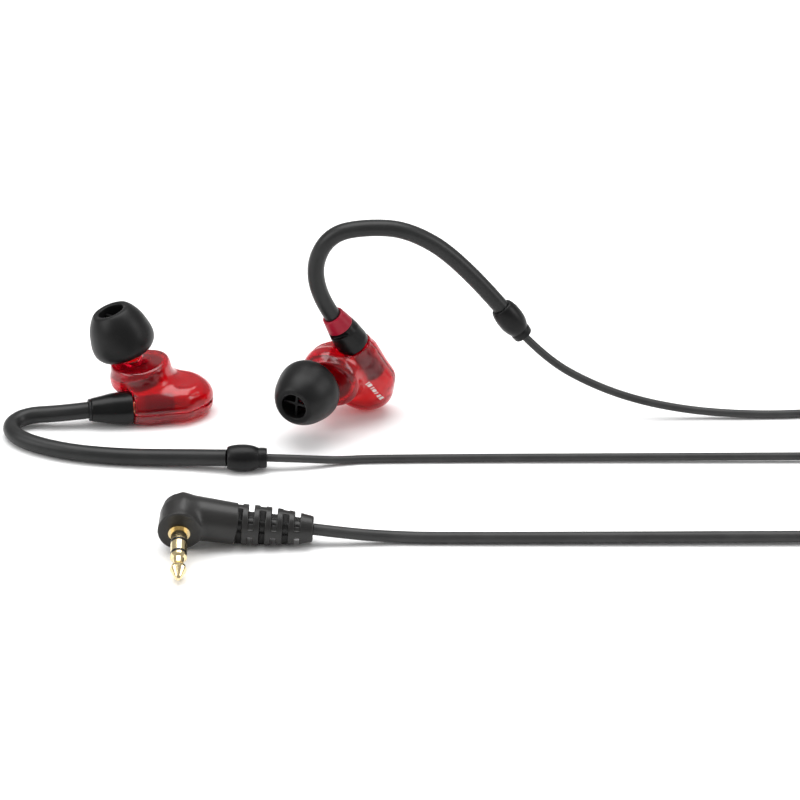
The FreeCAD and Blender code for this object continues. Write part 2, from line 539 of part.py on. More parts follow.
def hook(side):
    """Ear hook: bent sleeve over the cable, from the connector's cap to the ferrule."""
    cap_end = MOUTH[side] + TURN[side].multVec(V(-CAP_LENGTH, 0, 0))
    return cord([tuple(cap_end)] + HOOK_ROUTE[side] + [tuple(FERRULE[side][0])], HOOK_RADIUS, side + " hook")


def build():
    nodes = {}
    for side in ("left", "right"):
        pose = FreeCAD.Placement(MOUTH[side], TURN[side])
        for name, shape in earpiece(side).items():
            if side == "right":
                shape = shape.mirror(ORIGIN, Y_AXIS)
            shape.Placement = pose.multiply(shape.Placement)
            nodes[f"{side}_{name}"] = shape
        nodes[f"{side}_ear_hook"] = hook(side)
        nodes[f"{side}_hook_ferrule"] = ferrule(side)
        nodes[f"{side}_branch_cable"] = branch(side)
        nodes[f"{side}_branch_coil"] = coil(*BRANCH_COIL[side])
        nodes[f"{side}_coil_tie"] = coil_tie(*BRANCH_COIL[side], BRANCH_TIE_ANGLE)
    nodes["main_cable"] = main_cable()
    nodes["main_coil"] = coil(*MAIN_COIL)
    nodes["main_coil_tie"] = coil_tie(*MAIN_COIL, MAIN_TIE_ANGLE)
    nodes["y_splitter"] = splitter()
    nodes["chin_slider"] = slider()
    nodes.update(jack())
    return nodes


os.makedirs("parts", exist_ok=True)
for node, shape in build().items():
    shape.exportStep(f"parts/{node}.step")
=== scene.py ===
"""Looks of a pair of wired in-ear monitors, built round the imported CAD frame.

Sizes are in millimetres and are turned into metres where a mesh or curve is made. Each earpiece has its own
frame: the origin is in the mouth of its cable socket, x runs into the housing and z points at the ear. The
left one is built, and the right one mirrors it. A profile is a list of (distance along the axis, radius).
"""
import math

import bpy
import numpy as np
from mathutils import Matrix, Vector


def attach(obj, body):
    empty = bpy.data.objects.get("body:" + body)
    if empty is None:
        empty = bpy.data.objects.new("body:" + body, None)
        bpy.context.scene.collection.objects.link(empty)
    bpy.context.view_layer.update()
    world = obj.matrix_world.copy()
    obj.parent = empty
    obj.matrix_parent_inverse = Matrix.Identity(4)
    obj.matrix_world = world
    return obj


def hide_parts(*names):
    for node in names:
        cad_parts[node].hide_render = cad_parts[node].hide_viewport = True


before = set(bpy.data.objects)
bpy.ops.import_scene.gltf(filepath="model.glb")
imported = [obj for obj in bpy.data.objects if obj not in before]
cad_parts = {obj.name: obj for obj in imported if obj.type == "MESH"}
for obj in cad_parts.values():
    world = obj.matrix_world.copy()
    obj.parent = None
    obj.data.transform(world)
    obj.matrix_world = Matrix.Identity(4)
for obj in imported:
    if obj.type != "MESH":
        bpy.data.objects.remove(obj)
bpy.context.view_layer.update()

MM = 0.001
SIDES = ("left", "right")
MIRROR = {"left": Matrix.Identity(4), "right": Matrix.Diagonal((1, -1, 1, 1))}

# ---- camera ----
AIM = (28.1, 4.05, 6.02)
ELEVATION = math.radians(28)
DISTANCE = 2364
LENS = 500

# ---- places of the two earpieces: socket mouth, and yaw, pitch and roll in degrees ----
MOUTH = {"left": (-28.85, 5.2, 3.7), "right": (18.35, 7.3, 17.6)}
TURN = {"left": (8.4, 0, 0), "right": (21.9, 58.4, 128.0)}

# ---- meshes ----
SHARP_EDGE, CAD_SHARP_EDGE = math.radians(38), math.radians(30)
NET_ROUNDS, NET_PROBE, NET_MOVE = 3, 0.05, 0.3      # the last two in steps of the grid
LEAST_SLOPE = 0.3                                   # squared, so that a flat spot isn't thrown far
EASE_ROUNDS, EASE_KEEP = 2, 0.75                    # a cut corner keeps this share of each side
TIP_SEGMENTS, SOCKET_SEGMENTS, FERRULE_SEGMENTS = 96, 48, 64

# ---- materials: scale of each noise, as cells in a metre ----
DRIFT_SCALE, SCRATCH_SCALE, SMUDGE_SCALE = 160, 2500, 300
RIPPLE_SCALE, GAUZE_SCALE, FLOOR_SCALE = 900, 3200, 3
RED, RED_SHADOW = (0.7, 0.004, 0.024, 1), (0.5, 0.16, 0.18, 1)

# ---- floor and soft boxes: place, size and power, in metres and watts ----
FLOOR_REACH, FLOOR_DROP = 4, 0.00005
LIGHT_AIM = (0.03, 0, 0)
SOFT_BOXES = {"top_box": ((0.0, 0.12, 0.75), (0.9, 0.6), 7.6),
              "left_box": ((-0.65, -0.25, 0.45), (0.5, 0.5), 2.8),
              "right_box": ((0.7, -0.1, 0.4), (0.3, 0.5), 2.0)}

# ---- housing: an outline's lobes are (x, y, radius) ----
WALL = 0.8
FACE_LOW, SHOULDER, DOME_TOP = -3.7, 2.78, 3.89
EDGE_ROUND, DOME_ROUND, DOME_BLEND = 2.6, 3.0, 0.9
OUTLINE = ((3.2, 0.0, 3.52), (11.9, 3.85, 5.9), (5.9, 7.24, 5.43))
DOME_LOBES = ((10.5, 3.87, 6.43), (4.2, 8.4, 4.6))
OUTLINE_SIDES = 72
DUCT_RADIUS, DUCT_END, DUCT_BLEND = 3.7, 10.5, 0.8
SEAM_Z, SEAM_GAP, SEAM_BEVEL = -0.4, 0.1, 0.2
MOUTH_X, MOUTH_RADIUS, MOUTH_DEPTH = 0.15, 2.6, 2
CAP_ROOM_RADIUS, CAP_ROOM_BLEND = 3.85, 0.25
BOSS_TOP = (2.25, 6.1, 6.65)
EAR_AXIS = (-0.354, 0.113, 1.0)
BOSS_RADIUS, BOSS_LENGTH, BOSS_ROUND, BOSS_BLEND = 6.3, 6.2, 0.7, 2.6
LAND_TOP = (2.25, 6.1, 7.55)
LAND_AXIS = (-0.04, 0.04, 1.0)
LAND_RADIUS, LAND_LENGTH, LAND_BLEND = 6.1, 5.0, 1.6
RIM_RADIUS, RIM_DEPTH = 5.15, 0.12
SLOT_PLACE, SLOT_RADIUS, SLOT_HALF_HEIGHT, SLOT_BLEND = (16.9, -0.2), 1.6, 0.3, 0.1
DISH_PLACE, DISH_RADIUS, DISH_DEPTH = (9.8, 4.4), 4.3, 0.25
LINE_BLEND = 0.15
HOUSING_STEP = 0.25
INNER_BOX = ((-4.4, -4.4, SEAM_Z - 0.3), (18.9, 14.4, 15.2))
FACE_BOX = ((-3.6, -4.4, -4.2), (18.9, 14.4, SEAM_Z + 0.3))

# ---- nozzle: neck, pipe, the collar that holds the ear tip, and the seat of the gauze ----
NOZZLE_BASE = (1.15, 7.37, 6.11)
NOZZLE_RADIUS, NOZZLE_BORE, NOZZLE_LENGTH = 2.5, 1.7, 8.0
NOZZLE_ROUND, NOZZLE_BLEND = 0.25, 0.7
NOZZLE_SINK, BORE_SINK = 1, 2                       # how far each starts below the base
NECK_RADIUS, NECK_HEIGHT, NECK_ROUND, NECK_BLEND = 3.7, 0.5, 0.3, 1.2
COLLAR_BACK, COLLAR_RADIUS, COLLAR_BLEND = 1.1, 0.35, 0.4
SEAT_LIP, SEAT_DEPTH = 0.35, 0.25

# ---- printed bars: where each starts and ends along x ----
MARK_BARS = ((7.5, 7.8), (8.1, 8.9), (9.4, 9.7), (10.0, 10.8), (11.1, 11.4), (12.0, 12.6), (12.9, 13.6))
MARK_HEIGHT, MARK_LIFT = 0.9, 0.04
MARK_START, MARK_DROPS = DOME_TOP + 1, 30           # height to drop the points from, and steps down
MARK_POINTS = 6                                     # along each side of a bar

# ---- ear tip, and the cross in its sound hole ----
TIP_PROFILE = [(3.35, 4.9), (3.42, 5.5), (4.3, 6.35), (5.2, 6.75), (6.1, 6.88), (7.3, 6.8), (8.7, 6.5),
               (10.2, 6.12), (11.4, 5.62), (12.5, 4.98), (13.3, 4.38), (13.62, 4.02), (13.66, 3.9),
               (13.7, 3.4), (13.6, 2.86), (13.2, 2.78), (9.2, 2.7), (8.7, 2.62), (8.5, 2.5), (2.95, 2.5),
               (2.85, 2.6), (2.85, 3.35), (3.0, 3.5), (10.8, 3.5), (11.3, 3.8), (11.1, 4.5), (10.2, 5.2),
               (8.8, 5.75), (7.2, 5.98), (5.8, 5.8), (4.6, 5.3), (3.6, 4.6)]
WEB_WIDTH, WEB_REACH, WEB_LOW, WEB_HIGH = 0.62, 2.95, 11.3, 12.3
WEB_ROUND, WEB_BLEND, WEB_MARGIN, WEB_STEP = 0.2, 0.35, 0.3, 0.12

# ---- connector ----
CAP_LENGTH = 9.45
CAP_TAPER = ((0, 3.48), (1.2, 3.55), (4.4, 3.3), (CAP_LENGTH, 2.35))
CAP_MOUTH, CAP_ROUND, CAP_BORE, CAP_BORE_DEPTH = 0.1, 0.22, 1.92, 1.5
CAP_BOX = ((-CAP_LENGTH - 0.4, -3.9, -3.9), (0.3, 3.9, 3.9))
CAP_STEP = 0.14
MARK_LENGTH = {"left": 0.5, "right": 3.4}           # of the marker ring
RING_ROUND, RING_GAP, RING_DEPTH, RING_BLEND = 0.2, 0.08, 0.5, 0.1
MARKER = {"left": ("ring_black", "black_moulding"), "right": ("ring_red", "red_ring")}    # finish, slot
NOTCH_SIDE = {"left": -1, "right": 1}
NOTCH_HALF_LENGTH, NOTCH_FLOOR, NOTCH_BLEND = 0.55, 2.25, 0.12
SOCKET_BLOCK = [(2.6, 1.95), (2.6, 2.4), (8.6, 2.4), (8.8, 2.2), (8.8, 0.02), (6.6, 0.02), (6.6, 0.75),
                (5.2, 0.75), (5.2, 1.95)]
SOCKET_COLLAR = [(0.27, 1.95), (0.27, 2.38), (0.7, 2.38), (0.7, 2.2), (1.0, 2.2), (1.0, 2.38), (1.4, 2.38),
                 (1.4, 2.2), (1.7, 2.2), (1.7, 2.38), (2.1, 2.38), (2.1, 2.2), (2.55, 2.2), (2.55, 1.95)]

# ---- cords ----
HOOK_RADIUS = 1.8
BRANCH_RADIUS = 0.85
MAIN_RADIUS = 1.25
FERRULE_LENGTH = 8.5
FERRULE = {"left": ((-8.5, -15.9, 2.8), (1.0, 0.0, 0.0)),
           "right": ((49.5, 5.5, 27.6), (0.57, 0.04, -0.82))}
FERRULE_PROFILE = [(0.25, 0.9), (0.0, 2.0), (0.15, 2.35), (0.9, 2.62), (2.2, 2.85), (4.2, 2.86), (5.6, 2.6),
                   (6.5, 2.25), (6.75, 2.12), (7.0, 2.14), (7.15, 2.2), (8.3, 2.1), (8.5, 1.95), (8.5, 1.0),
                   (8.1, 0.85), (4.0, 0.85)]
HOOK_ROUTE = {
    "left": [(-44.3, 3.0, 3.3), (-51.4, 4.2, 2.3), (-55.0, 0.4, 1.9), (-53.6, -4.6, 1.85),
             (-48.6, -8.6, 1.85), (-40.5, -12.0, 1.85), (-29.5, -13.8, 1.85), (-18.0, -14.4, 2.1)],
    "right": [(10.9, 4.3, 30.9), (9.9, 3.8, 39.2), (13.6, 3.6, 46.0), (21.0, 3.8, 47.5),
              (30.0, 4.4, 46.6), (40.5, 4.9, 39.4)]}
BRANCH_ROUTE = {
    "left": [(7.5, -15.6, 2.4), (15.0, -13.7, 1.0), (23.0, -12.4, 0.87)],
    "right": [(59.5, 6.2, 14.6), (68.0, 6.5, 9.0), (78.0, 6.9, 4.6), (90.0, 7.2, 1.8),
              (103.0, 7.0, 0.9), (117.0, 7.7, 0.9)]}
LEAD_ROUTE = {
    "left": [(140.5, 7.0, 1.4), (142.7, 15.4, 0.9), (142.6, 27.4, 0.9), (154.2, 27.4, 2.0)],
    "right": [(139.9, 32.2, 1.0), (156.6, 32.2, 2.0)]}
RELIEF_END = (10.0, -48.6, 3.5)
MAIN_ROUTE = [(18.0, -48.7, 2.4), (27.0, -48.1, 1.4), (37.0, -48.4, 1.27)]
SPLIT_X, SPLIT_BRANCH_Y, SPLIT_MAIN_Y, SPLIT_Z = 155.4, 2.0, -14.0, 2.0
LEAD_TOP = (SPLIT_X, -21.4, 2.6)
BRANCH_SPACING = 2.4

# ---- coils: centre and middle radius, and each turn as (offset from the middle, height), in cord radii ----
TIE_LIFT = 0.5
POINTS_PER_TURN = 16
CROSSING_SHARE = 0.25             # of a turn that the change to the next turn's place takes
CLIMB_RATE = 1.6                  # a change that goes up a layer climbs first and slides last, at this rate
BRANCH_COIL = {"left": ((130.5, -2.55), 9.0), "right": ((130.5, 20.55), 9.4)}
BRANCH_TURNS = {"left": ((1, 1), (-1, 1), (0, 3)), "right": ((1, 1), (-1, 1), (-1, 3), (0, 3))}
MAIN_COIL = ((140.4, -33.4), 12.5)
MAIN_TURNS = ((2, 1), (0, 1), (-2, 1), (-2, 3), (0, 3), (2, 3), (-2, 5), (0, 5), (2, 5), (2, 5))

# ---- straps; the shares are of the strap's width ----
TIE_WIDTH, TIE_THICKNESS, TIE_CORNER, TIE_BEVEL = 3.5, 0.34, 0.9, 0.06
TIE_SIDE_GAP, TIE_GAP = 0.15, 0.12                  # beside the turns, and below and above them
TIE_FLAT_SHARE, LAP_SHARE = 0.44, 0.9
TIE_CORNER_STEPS = 6
LAP_GAP = 0.01
LAP_FROM, LAP_TO = 3, 11                            # spots of the strap's loop that its free end covers
BRANCH_TIE_TURN, MAIN_TIE_TURN = 180, 90

# ---- splitter and slider ----
SPLIT_STATIONS = (SPLIT_MAIN_Y, SPLIT_MAIN_Y + 5, SPLIT_BRANCH_Y - 3, SPLIT_BRANCH_Y)
SPLIT_HALF_WIDTHS = (1.9, 2.2, 3.2, 3.3)
SPLIT_HALF_HEIGHTS = (1.85, 1.9, 1.93, 1.95)
SPLIT_ROUND = 0.35
GRIP_LINES, GRIP_START, GRIP_PITCH, GRIP_HALF_WIDTH, GRIP_DEPTH = 3, 1.6, 1.3, 0.3, 0.3
SLIDER_LOW, SLIDER_HIGH = SPLIT_BRANCH_Y + 0.3, SPLIT_BRANCH_Y + 7.8
SLIDER_FLAT_X, SLIDER_FLAT_Z, SLIDER_SIDE_ROUND, SLIDER_END_ROUND = 1.9, 0.6, 1.3, 0.5
SLIDER_CLEARANCE, SLIDER_BLEND = 0.05, 0.12
WAIST_LENGTH, WAIST_OUT, WAIST_RADIUS, WAIST_BLEND = 2.4, 3.7, 0.75, 0.3
SMALL_REACH, SMALL_MARGIN, SMALL_TOP, SMALL_STEP = 4, 0.5, 4.5, 0.16

# ---- plug: its centre is where the shaft's and the arm's axes cross ----
JACK_CENTRE = (-17.9, -48.6, 6.75)
SHAFT_DIP, ARM_ROLL = math.radians(16.0), math.radians(11.5)
SHAFT = (0, -math.cos(SHAFT_DIP), -math.sin(SHAFT_DIP))
PLUG_UP = (0, -math.sin(SHAFT_DIP), math.cos(SHAFT_DIP))
ARM = (math.cos(ARM_ROLL), math.sin(ARM_ROLL) * math.sin(SHAFT_DIP),
       -math.sin(ARM_ROLL) * math.cos(SHAFT_DIP))
JACK_ALONG = (-3.5, -3.1, -2.2, 0, 4.9)
JACK_HALF_WIDTH = (2.2, 2.9, 3.45, 4.1, 4.55)
JACK_HALF_HEIGHT = (2.5, 3.4, 4.15, 4.8, 5.3)
ARM_RADIUS, ARM_TAPER, ARM_LENGTH, ARM_BLEND = 4.75, 0.034, 11.9, 1.6
JACK_ROUND, ARM_ROUND = 0.3, 0.25
JACK_BOX = ((-23.6, -55.6, -0.5), (-4.6, -43.0, 12.6))
JACK_STEP = 0.2
RELIEF_SHARES = (0, 0.27, 0.54, 0.8, 1)
RELIEF_RADII = (4.3, 4.2, 3.9, 3.35, 2.7)
RELIEF_CORE, RELIEF_RIB, RELIEF_PITCH, RELIEF_PITCHES = 1.7, 0.9, 4.85, 3
RELIEF_ROUND, RELIEF_BLEND = 0.3, 0.22
SIDE_SLOT, TOP_SLOT = (0.2, 1.2), (2.65, 1.15)      # place in a pitch, width
RELIEF_START = Vector(JACK_CENTRE) + Vector(ARM) * ARM_LENGTH
RELIEF_LENGTH = (Vector(RELIEF_END) - RELIEF_START).length
RELIEF_BOX = ((-0.4, -4.7, -4.7), (RELIEF_LENGTH + 0.4, 4.7, 4.7))
RELIEF_STEP = 0.16


def placed(side):
    """The earpiece's own frame, set in the frame of the whole part, in millimetres."""
    yaw, pitch, roll = (math.radians(angle) for angle in TURN[side])
    turn = Matrix.Rotation(yaw, 4, "Z") @ Matrix.Rotation(pitch, 4, "Y") @ Matrix.Rotation(roll, 4, "X")
    return Matrix.Translation(MOUTH[side]) @ turn @ MIRROR[side]


def link(obj, body):
    bpy.context.scene.collection.objects.link(obj)
    if body:
        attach(obj, body)
    return obj


def mesh_object(name, points, faces, body, matrix, material):
    """Mesh from points in millimetres, smooth but for its sharp edges, riding on a body."""
    spots = np.array(points, float) @ np.array(matrix.to_3x3()).T + np.array(matrix.translation)
    mesh = bpy.data.meshes.new(name)
    mesh.from_pydata((spots * MM).tolist(), [], [tuple(int(i) for i in face) for face in faces])
    if matrix.determinant() < 0:
        mesh.flip_normals()
    mesh.shade_smooth()
    mesh.set_sharp_from_angle(angle=SHARP_EDGE)
    mesh.materials.append(material)
    return link(bpy.data.objects.new(name, mesh), body)


def spline_object(name, points, radius, body, material):
    """Round cord along one smooth NURBS curve with these control points, in millimetres."""
    curve = bpy.data.curves.new(name, "CURVE")
    curve.dimensions = "3D"
    curve.bevel_depth = 1         # times each point's own radius, which also sets the curve's bounding box
    curve.bevel_resolution = 6
    curve.resolution_u = 10
    curve.use_fill_caps = True
    spline = curve.splines.new("NURBS")
    spline.points.add(len(points) - 1)
    for spot, point in zip(spline.points, points):
        spot.co = (point[0] * MM, point[1] * MM, point[2] * MM, 1)
        spot.radius = radius * MM
    spline.order_u = 3
    spline.use_endpoint_u = True
    curve.materials.append(material)
    return link(bpy.data.objects.new(name, curve), body)


# ---------------------------------------------------------------- materials

def new_material(name):
    material = bpy.data.materials.new(name)
    material.use_nodes = True
    nodes = material.node_tree.nodes
    return material, nodes, material.node_tree.links, nodes["Principled BSDF"]


def object_noise(nodes, links, scale, detail=3, rough=0.55):
    place = nodes.new("ShaderNodeTexCoord")
    noise = nodes.new("ShaderNodeTexNoise")
    noise.inputs["Scale"].default_value = scale
    noise.inputs["Detail"].default_value = detail
    noise.inputs["Roughness"].default_value = rough
    links.new(place.outputs["Object"], noise.inputs["Vector"])
    return noise


def ramp(nodes, links, source, stops):
    made = nodes.new("ShaderNodeValToRGB")
    elements = made.color_ramp.elements
    while len(elements) < len(stops):
        elements.new(0.5)
    for element, (at, colour) in zip(elements, stops):
        element.position = at
        element.color = (*colour, 1)
    links.new(source, made.inputs["Fac"])
    return made


def scaled(colour, factor):
    return tuple(value * factor for value in colour)


def mottle(nodes, links, shader, source, dark, light):
    """Base colour that drifts from dark to light with a noise."""
    shade = ramp(nodes, links, source, [(0.3, dark), (0.7, light)])
    links.new(shade.outputs["Color"], shader.inputs["Base Color"])


def uneven_gloss(nodes, links, shader, source, smooth, dull):
    """Roughness that drifts from smooth to dull with a noise."""
    gloss = nodes.new("ShaderNodeMapRange")
    gloss.inputs["To Min"].default_value = smooth
    gloss.inputs["To Max"].default_value = dull
    links.new(source, gloss.inputs["Value"])
    links.new(gloss.outputs["Result"], shader.inputs["Roughness"])


def add_bump(nodes, links, shader, source, strength, distance):
    bump = nodes.new("ShaderNodeBump")
    bump.inputs["Strength"].default_value = strength
    bump.inputs["Distance"].default_value = distance * MM
    links.new(source, bump.inputs["Height"])
    links.new(bump.outputs["Normal"], shader.inputs["Normal"])


def moulded(name, colour, roughness, grain=0.3, bump=0.012, sheen=0.3):
    """Moulded plastic or rubber: slightly uneven colour and gloss, and a fine grain, at a size in mm."""
    material, nodes, links, shader = new_material(name)
    broad = object_noise(nodes, links, DRIFT_SCALE)
    mottle(nodes, links, shader, broad.outputs["Fac"], scaled(colour, 0.8), scaled(colour, 1.2))
    shader.inputs["Specular IOR Level"].default_value = sheen
    fine = object_noise(nodes, links, 1 / (grain * MM), detail=4)
    uneven_gloss(nodes, links, shader, fine.outputs["Fac"], roughness * 0.85, roughness * 1.2)
    add_bump(nodes, links, shader, fine.outputs["Fac"], 0.6, bump)
    return material


def metal(name, colour, roughness):
    """Plated metal with faint drawing marks."""
    material, nodes, links, shader = new_material(name)
    shader.inputs["Metallic"].default_value = 1
    fine = object_noise(nodes, links, SCRATCH_SCALE, detail=4)
    mottle(nodes, links, shader, fine.outputs["Fac"], scaled(colour, 0.9), colour)
    uneven_gloss(nodes, links, shader, fine.outputs["Fac"], roughness * 0.7, roughness * 1.4)
    add_bump(nodes, links, shader, fine.outputs["Fac"], 0.06, 0.01)
    return material


def clear_red(name, smooth, dull, sheen):
    """Translucent red plastic that casts a red shadow: smooth and dull bound its roughness, and sheen sets
    its specular level."""
    material, nodes, links, shader = new_material(name)
    shader.inputs["Base Color"].default_value = RED
    shader.inputs["Transmission Weight"].default_value = 0.93
    shader.inputs["Specular IOR Level"].default_value = sheen
    shader.inputs["IOR"].default_value = 1.49
    smudge = object_noise(nodes, links, SMUDGE_SCALE, detail=4)
    uneven_gloss(nodes, links, shader, smudge.outputs["Fac"], smooth, dull)
    add_bump(nodes, links, shader, smudge.outputs["Fac"], 0.04, 0.03)
    through = nodes.new("ShaderNodeBsdfTransparent")
    through.inputs["Color"].default_value = RED_SHADOW
    path = nodes.new("ShaderNodeLightPath")
    mix = nodes.new("ShaderNodeMixShader")
    links.new(path.outputs["Is Shadow Ray"], mix.inputs["Fac"])
    links.new(shader.outputs["BSDF"], mix.inputs[1])
    links.new(through.outputs["BSDF"], mix.inputs[2])
    links.new(mix.outputs["Shader"], nodes["Material Output"].inputs["Surface"])
    return material


def sound_mesh():
    """Fine steel gauze: round holes in a square grid, the holes painted near black as painted shade of the
    bore seen through them.
    """
    material, nodes, links, shader = new_material("steel_gauze")
    shader.inputs["Metallic"].default_value = 1
    place = nodes.new("ShaderNodeTexCoord")
    cells = nodes.new("ShaderNodeTexVoronoi")
    cells.inputs["Scale"].default_value = GAUZE_SCALE
    cells.inputs["Randomness"].default_value = 0
    links.new(place.outputs["Object"], cells.inputs["Vector"])
    # the near-black stop is painted shade: the holes are coloured dark, not opened
    shade = ramp(nodes, links, cells.outputs["Distance"],
                 [(0.28, (0.01, 0.01, 0.01)), (0.4, (0.5, 0.5, 0.52))])
    links.new(shade.outputs["Color"], shader.inputs["Base Color"])
    shader.inputs["Roughness"].default_value = 0.35
    add_bump(nodes, links, shader, cells.outputs["Distance"], 0.5, 0.05)
    return material


def film(name, colour):
    """Thin see-through polymer film."""
    material, nodes, links, shader = new_material(name)
    ripple = object_noise(nodes, links, RIPPLE_SCALE)
    mottle(nodes, links, shader, ripple.outputs["Fac"], colour, scaled(colour, 1.2))
    shader.inputs["Roughness"].default_value = 0.15
    shader.inputs["Transmission Weight"].default_value = 0.6
    return material


def materials():
    return {
        "red": clear_red("clear_red", 0.12, 0.2, 0.3),
        "red_inside": clear_red("clear_red_inside", 0.3, 0.42, 0.1),
        "silicone": moulded("black_silicone", (0.0026, 0.0026, 0.0027), 0.4, bump=0.008, sheen=0.24),
        "hook": moulded("hook_sleeve", (0.015, 0.0153, 0.0153), 0.36, grain=0.35, sheen=0.26),
        "cable": moulded("cable_jacket", (0.031, 0.031, 0.031), 0.4, sheen=0.26),
        "ferrule": moulded("black_moulding", (0.0035, 0.0035, 0.0037), 0.36, bump=0.02, sheen=0.2),
        "cap": moulded("cap_plastic", (0.003, 0.0032, 0.0032), 0.3, bump=0.02, sheen=0.22),
        "plug": moulded("plug_moulding", (0.013, 0.0125, 0.012), 0.34, grain=0.4, bump=0.02, sheen=0.34),
        "strap": moulded("strap_weave", (0.008, 0.008, 0.009), 0.75, grain=0.6, bump=0.12),
        "ring_red": moulded("ring_red", (0.3, 0.003, 0.02), 0.38, bump=0.02),
        "ring_black": moulded("ring_black", (0.008, 0.008, 0.009), 0.4, bump=0.02),
        "socket": moulded("socket_black", (0.0015, 0.0012, 0.0012), 0.5, bump=0.02),
        "collar": moulded("socket_collar", (0.3, 0.05, 0.055), 0.4, bump=0.02),
        "frame": metal("driver_steel", (0.32, 0.32, 0.34), 0.3),
        "magnet": metal("magnet_nickel", (0.55, 0.55, 0.57), 0.22),
        "copper": metal("copper_wire", (0.72, 0.33, 0.16), 0.3),
        "gold": metal("gold_plate", (0.86, 0.7, 0.4), 0.16),
        "board": moulded("board_green", (0.02, 0.12, 0.05), 0.35),
        "white": moulded("white_insulator", (0.75, 0.74, 0.7), 0.4),
        "band": moulded("black_insulator", (0.008, 0.008, 0.008), 0.25),
        "film": film("clear_film", (0.75, 0.7, 0.6)),
        "gauze": sound_mesh(),
        "ink": moulded("white_ink", (0.78, 0.72, 0.7), 0.5),
    }


# ---------------------------------------------------------------- camera, floor and lights

def camera():
    data = bpy.data.cameras.new("camera")
    data.lens = LENS
    data.clip_end = 10
    cam = bpy.data.objects.new("camera", data)
    back = Vector((0, -math.cos(ELEVATION), math.sin(ELEVATION)))
    cam.location = (Vector(AIM) + back * DISTANCE) * MM
    cam.rotation_euler = (math.pi / 2 - ELEVATION, 0, 0)
    link(cam, None)
    bpy.context.scene.camera = cam


def soft_box(name, at, size, power):
    data = bpy.data.lights.new(name, "AREA")
    data.shape = "RECTANGLE"
    data.size, data.size_y = size
    data.energy = power
    light = bpy.data.objects.new(name, data)
    light.location = at
    light.rotation_euler = (Vector(LIGHT_AIM) - Vector(at)).to_track_quat("-Z", "Y").to_euler()
    link(light, None)


def studio():
    """Pale floor, even white surroundings and three soft boxes."""
    material, nodes, links, shader = new_material("floor")
    cloud = object_noise(nodes, links, FLOOR_SCALE)
    mottle(nodes, links, shader, cloud.outputs["Fac"], (0.90, 0.90, 0.90), (0.92, 0.92, 0.92))
    shader.inputs["Roughness"].default_value = 0.7
    shader.inputs["Specular IOR Level"].default_value = 0.1
    mesh = bpy.data.meshes.new("floor")
    corners = [(x * FLOOR_REACH, y * FLOOR_REACH, 0) for x, y in ((-1, -1), (1, -1), (1, 1), (-1, 1))]
    mesh.from_pydata(corners, [], [(0, 1, 2, 3)])
    mesh.materials.append(material)
    floor = link(bpy.data.objects.new("floor", mesh), None)
    floor.location.z = -FLOOR_DROP
    world = bpy.data.worlds.new("studio")
    bpy.context.scene.world = world
    world.use_nodes = True
    world.node_tree.nodes["Background"].inputs["Color"].default_value = (1, 1, 1, 1)
    world.node_tree.nodes["Background"].inputs["Strength"].default_value = 0.44
    for name, (at, size, power) in SOFT_BOXES.items():
        soft_box(name, at, size, power)
    bpy.context.scene.view_settings.view_transform = "Standard"


# ---------------------------------------------------------------- surfaces from fields

def smooth_union(first, second, width):
    share = np.clip(0.5 + 0.5 * (second - first) / width, 0, 1)
    return second + (first - second) * share - width * share * (1 - share)


def smooth_cut(solid, tool, width):
    return -smooth_union(-solid, tool, width)


def rounded_stack(side, level, low, high, radius):
    """Field of a plate from low to high whose outline is the zero line of side, with round edges."""
    across = side + radius
    along = np.abs(level - (low + high) / 2) - (high - low) / 2 + radius
    outside = np.hypot(np.maximum(across, 0), np.maximum(along, 0))
    return outside + np.minimum(np.maximum(across, along), 0) - radius


def along_axis(x, y, z, base, axis):
    """Distance along an axis from base, and away from it."""
    axis = Vector(axis).normalized()
    dx, dy, dz = x - base[0], y - base[1], z - base[2]
    along = dx * axis.x + dy * axis.y + dz * axis.z
    away = np.sqrt(np.maximum(dx * dx + dy * dy + dz * dz - along * along, 0))
    return along, away


